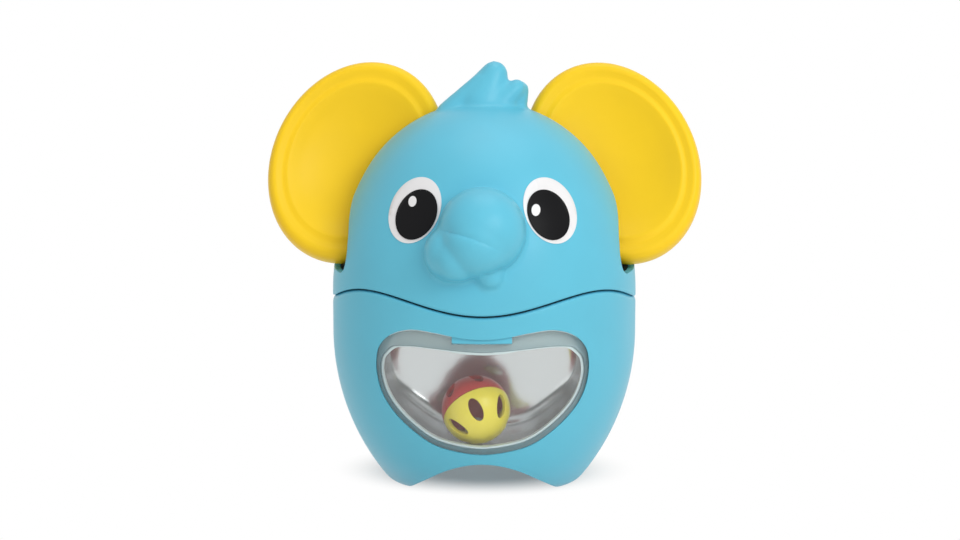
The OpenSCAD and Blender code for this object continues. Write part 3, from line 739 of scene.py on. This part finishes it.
# Depths below the body's outer face
COVER_FACE = 0.3
COVER_PANE = 2.1
COVER_EDGE = 3.8
LIP_FACE = 2.4
RIM_FACE = 3.9
RIM_BACK = 4.5
BOWL_FACE = 4.0
# Distances of outlines from the window's outline, positive outwards
COVER_GAP = 0.2
PANE_EDGE = -2.3
RIM_OUTSIDE = 0.6
RIM_INSIDE = -2.4
LIP_OUTSIDE = -2.5
LIP_INSIDE = -3.3
BOWL_OUTSIDE = 1.4
BOWL_MOUTH = -0.9
# The cover's edge grows wider over the sides and slopes more above the top
EDGE_SIDE_Z = WINDOW_Z + 0.55 * WINDOW_H
EDGE_TOP_Z = WINDOW_Z + 0.9 * WINDOW_H
EDGE_MORE = 2.6
EDGE_RUN = 14.0
EDGE_TOP_SLOPE = 0.6
# The bowl's round corners, its back and its wall
BOWL_MID_Z = WINDOW_Z + 0.54 * WINDOW_H
BOWL_BACK_Y = -16.0
BOWL_POWER = 4.6
BOWL_STEPS = 20
BOWL_LAST = 0.985
BOWL_WALL = 1.0


def edge_line(d):
    """Inner line of the cover's thick edge, which is wider at the top."""
    line = []
    for x, z in grown(WINDOW, d):
        share = min(1.0, max(0.0, (z - EDGE_SIDE_Z) / EDGE_RUN))
        line.append((x, z - EDGE_MORE * share - EDGE_TOP_SLOPE * max(0.0, z - EDGE_TOP_Z)))
    return line


def wall_piece(name, near, far, outline):
    """What lies between two depths below the body's outer face, within a front-view outline."""
    piece = spun(name, body_section(near, BAND_TOP), FINE_STEPS)
    cut(piece, spun("inside tool", body_section(far, BAND_TOP + OVERRUN), FINE_STEPS))
    return cut(piece, bar("window tool", outline, FRONT_END), "INTERSECT")


def make_rim():
    """The bowl's rim, which shows through the cover's edge, and inside it a thin lip whose pale colour is a
    painted highlight: the bright line inside the cover's edge.
    """
    ring = wall_piece("bowl_rim_ring", RIM_FACE, RIM_BACK, grown(WINDOW, RIM_OUTSIDE))
    cut(ring, bar("hole tool", edge_line(RIM_INSIDE), FRONT_END))
    place(ring, seat_plastic, None, "toy")
    # A thin ring inside the rim; its pale colour paints the highlight line along the cover's edge
    lip = wall_piece("bowl_rim_highlight_lip", LIP_FACE, RIM_BACK, edge_line(LIP_OUTSIDE))
    cut(lip, bar("hole tool", edge_line(LIP_INSIDE), FRONT_END))
    place(lip, highlight_lip_plastic, None, "toy")


def make_cover():
    cover = wall_piece("clear_cover", COVER_FACE, COVER_EDGE, grown(WINDOW, -COVER_GAP))
    pocket = spun("pocket tool", body_section(COVER_PANE, BAND_TOP + OVERRUN), FINE_STEPS)
    cut(pocket, bar("window tool", edge_line(PANE_EDGE), FRONT_END), "INTERSECT")
    cut(cover, pocket)
    cut(cover, tab_bar(COVER_GAP))
    return place(cover, clear, "clear_cover", "toy", "window_cover")


def bowl_line(d):
    """The window's outline moved by d, on the bowl's face."""
    return [Vector((x, -sqrt(body_r(z, BOWL_FACE) ** 2 - x * x), z)) for x, z in grown(WINDOW, d)]


def make_bowl():
    """A flat edge, then rings that shrink and go back along a rounded corner to the bowl's back."""
    bm = bmesh.new()
    verts = [bm.verts.new(at) for at in bowl_line(BOWL_OUTSIDE)]
    ring = [bm.edges.new((verts[i - 1], verts[i])) for i in range(len(verts))]
    mouth = bowl_line(BOWL_MOUTH)
    for k in range(BOWL_STEPS + 1):
        made = bmesh.ops.extrude_edge_only(bm, edges=ring)
        ring = [e for e in made["geom"] if isinstance(e, bmesh.types.BMEdge)]
        fresh = [v for v in made["geom"] if isinstance(v, bmesh.types.BMVert)]
        turn = pi / 2 * min(k / BOWL_STEPS, BOWL_LAST)
        narrow, deep = cos(turn) ** (2 / BOWL_POWER), sin(turn) ** (2 / BOWL_POWER)
        for v, at in zip(fresh, mouth):
            v.co = (narrow * at.x, at.y + deep * (BOWL_BACK_Y - at.y),
                    BOWL_MID_Z + narrow * (at.z - BOWL_MID_Z))
    bmesh.ops.contextual_create(bm, geom=ring)
    bmesh.ops.recalc_face_normals(bm, faces=bm.faces)
    bowl = mesh_piece("silvered_bowl", bm)
    thick = bowl.modifiers.new("wall", "SOLIDIFY")
    thick.thickness = BOWL_WALL
    thick.offset = -1
    settled(bowl)
    return place(bowl, silvered, "silvered", "toy", "mirror_bowl", sharp=50)


# Ball: two slotted halves, about the pole of the yellow half

BALL_R = 12.5
BALL_AT = (-2.5, -34.5, 34.6)
BALL_WALL = 1.4
BALL_SEAM = 0.012
BALL_SLOTS = 6
BALL_SLOT_R = 2.3
BALL_SLOT_LONG = 1.9
BALL_SLOT_DEPTH = 8.0
BALL_SLOT_TURN = radians(56)
POLE = Vector((0.374, -0.708, -0.598)).normalized()
FIRST_SLOT = Vector((0.021, -0.974, 0.227))


def make_ball_half(name, up, material, slot, node):
    outside = arc(0, 0, BALL_R, BALL_SEAM, pi / 2, 24)
    inside = arc(0, 0, BALL_R - BALL_WALL, pi / 2, BALL_SEAM, 24)
    half = spun(name, outside + inside + outside[:1], steps=96)
    side = (FIRST_SLOT - FIRST_SLOT.dot(POLE) * POLE).normalized()
    basis = Matrix((side, POLE.cross(side), POLE)).transposed().to_4x4()
    for k in range(BALL_SLOTS):
        tool = bmesh.new()
        bmesh.ops.create_cone(tool, cap_ends=True, segments=24, radius1=BALL_SLOT_R, radius2=BALL_SLOT_R,
                              depth=BALL_SLOT_DEPTH)
        bmesh.ops.scale(tool, vec=(BALL_SLOT_LONG, 1, 1), verts=tool.verts)
        turn = (Matrix.Rotation(2 * pi * k / BALL_SLOTS, 4, "Z") @ Matrix.Rotation(BALL_SLOT_TURN, 4, "Y")
                @ Matrix.Translation((0, 0, BALL_R)))
        bmesh.ops.transform(tool, matrix=turn, verts=tool.verts)
        cut(half, mesh_piece("slot tool", tool))
    if not up:
        half.data.transform(Matrix.Rotation(pi, 4, "X") @ Matrix.Rotation(pi / BALL_SLOTS, 4, "Z"))
    half.data.transform(Matrix.Translation(BALL_AT) @ basis)
    return place(half, material, slot, "ball", node)


make_body()
make_head()
make_ear("left_ear_oval", 1, "left_ear")
make_ear("right_ear_oval", -1, "right_ear")
make_eyes()
make_cover()
make_rim()
make_bowl()
make_ball_half("ball_yellow", True, ball_yellow_plastic, "ball_yellow", "ball_yellow_half")
make_ball_half("red_ball_half", False, ball_red_plastic, "ball_red", "ball_red_half")

# Inner pieces keep their CAD shapes and get a material each
INNER = [("neck_frame", dark_plastic),
         ("ear_carrier", dark_plastic),
         ("ear_pins", steel),
         ("ear_washers", dark_plastic),
         ("carrier_screws", steel),
         ("head_screws", steel),
         ("base_screws", steel),
         ("plate_screws", steel),
         ("rattle_bead", steel),
         ("foot_weights", iron),
         ("weight_plate", dark_plastic)]
for node, material in INNER:
    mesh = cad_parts[node].data
    mesh.materials.clear()
    mesh.materials.append(material)


# Stage: pale floor, white surround, soft lamps and the photo's camera, in metres

# Lamps: where, how wide, how strong, and whether glossy surfaces mirror them
LAMPS = [("key", (0.45, -0.95, 0.62), 1.0, 4.4, False),
         ("sheen", (0.70, -0.80, 0.72), 0.45, 2.6, True),
         ("fill", (-0.9, -0.6, 0.6), 0.8, 0.35, True),
         ("top", (0.1, 0.1, 1.3), 1.0, 3.5, True)]
LAMP_AIM = Vector((0, 0, 0.08))
CAMERA_RISE = radians(10)
CAMERA_YAW = radians(1)
CAMERA_FAR = 1.0
CAMERA_LENS = 99.47
# What the camera looks at: a height on the toy's axis, moved sideways and up in the picture
AIM_Z = 0.079
AIM_SIDE = -0.00162
AIM_UP = 0.00132


def sight_of(tree):
    """A value that is 1 for what the camera sees, also in metal and through the clear cover."""
    path = tree.nodes.new("ShaderNodeLightPath")
    value = path.outputs["Is Camera Ray"]
    for ray in ("Is Glossy Ray", "Is Transmission Ray"):
        either = tree.nodes.new("ShaderNodeMath")
        either.operation = "MAXIMUM"
        tree.links.new(value, either.inputs[0])
        tree.links.new(path.outputs[ray], either.inputs[1])
        value = either.outputs["Value"]
    return value


def make_floor():
    """A pale floor that darkens only in an oval under the toy, and is white to the camera elsewhere."""
    bm = bmesh.new()
    bmesh.ops.create_grid(bm, x_segments=1, y_segments=1, size=3)
    floor = mesh_piece("floor", bm)
    material, tree, shader = nodes_of("pale floor")
    shader.inputs["Base Color"].default_value = (0.97, 0.90, 0.855, 1)
    shader.inputs["Roughness"].default_value = 0.9
    shader.inputs["Specular IOR Level"].default_value = 0.0
    where = tree.nodes.new("ShaderNodeTexCoord")
    stretch = tree.nodes.new("ShaderNodeMapping")
    stretch.inputs["Location"].default_value = (0, -0.02, 0)
    stretch.inputs["Scale"].default_value = (0.72, 1, 1)
    far = tree.nodes.new("ShaderNodeVectorMath")
    far.operation = "LENGTH"
    fade = tree.nodes.new("ShaderNodeMapRange")
    fade.interpolation_type = "SMOOTHSTEP"
    fade.inputs["From Min"].default_value = 0.016
    fade.inputs["From Max"].default_value = 0.043
    fade.inputs["To Min"].default_value = 0.2
    seen = tree.nodes.new("ShaderNodeMath")
    seen.operation = "MULTIPLY"
    white = tree.nodes.new("ShaderNodeEmission")
    mix = tree.nodes.new("ShaderNodeMixShader")
    link = tree.links.new
    link(where.outputs["Object"], stretch.inputs["Vector"])
    link(stretch.outputs["Vector"], far.inputs[0])
    link(far.outputs["Value"], fade.inputs["Value"])
    link(fade.outputs["Result"], seen.inputs[0])
    link(sight_of(tree), seen.inputs[1])
    link(seen.outputs["Value"], mix.inputs["Fac"])
    link(shader.outputs["BSDF"], mix.inputs[1])
    link(white.outputs["Emission"], mix.inputs[2])
    link(mix.outputs["Shader"], tree.nodes["Material Output"].inputs["Surface"])
    floor.data.materials.append(material)


def make_world():
    """Even light from all sides, and plain white where the camera looks past the floor."""
    world = bpy.data.worlds.new("studio")
    bpy.context.scene.world = world
    world.use_nodes = True
    tree = world.node_tree
    light = tree.nodes["Background"]
    light.inputs["Color"].default_value = (1, 1, 1, 1)
    light.inputs["Strength"].default_value = 0.5
    seen = tree.nodes.new("ShaderNodeBackground")
    seen.inputs["Color"].default_value = (1, 1, 1, 1)
    seen.inputs["Strength"].default_value = 1.0
    mix = tree.nodes.new("ShaderNodeMixShader")
    tree.links.new(sight_of(tree), mix.inputs["Fac"])
    tree.links.new(light.outputs["Background"], mix.inputs[1])
    tree.links.new(seen.outputs["Background"], mix.inputs[2])
    tree.links.new(mix.outputs["Shader"], tree.nodes["World Output"].inputs["Surface"])


def make_lamp(name, at, size, power, mirrored):
    data = bpy.data.lights.new(name, "AREA")
    data.shape = "DISK"
    data.size = size
    data.energy = power
    obj = bpy.data.objects.new(name, data)
    bpy.context.collection.objects.link(obj)
    obj.location = at
    obj.rotation_euler = (LAMP_AIM - Vector(at)).to_track_quat("-Z", "Y").to_euler()
    obj.visible_glossy = mirrored


def make_camera():
    data = bpy.data.cameras.new("camera")
    data.sensor_width = 36
    data.lens = CAMERA_LENS
    data.clip_start = 0.05
    camera = bpy.data.objects.new("camera", data)
    bpy.context.collection.objects.link(camera)
    flat, high = cos(CAMERA_RISE), sin(CAMERA_RISE)
    aim = Vector((AIM_SIDE, AXIS_Y / 1000 + AIM_UP * high, AIM_Z + AIM_UP * flat))
    back = Vector((flat * sin(CAMERA_YAW), -flat * cos(CAMERA_YAW), high))
    camera.location = aim + CAMERA_FAR * back
    camera.rotation_euler = (pi / 2 - CAMERA_RISE, 0, CAMERA_YAW)
    bpy.context.scene.camera = camera


make_floor()
make_world()
for row in LAMPS:
    make_lamp(*row)
make_camera()
bpy.context.scene.view_settings.view_transform = "Standard"
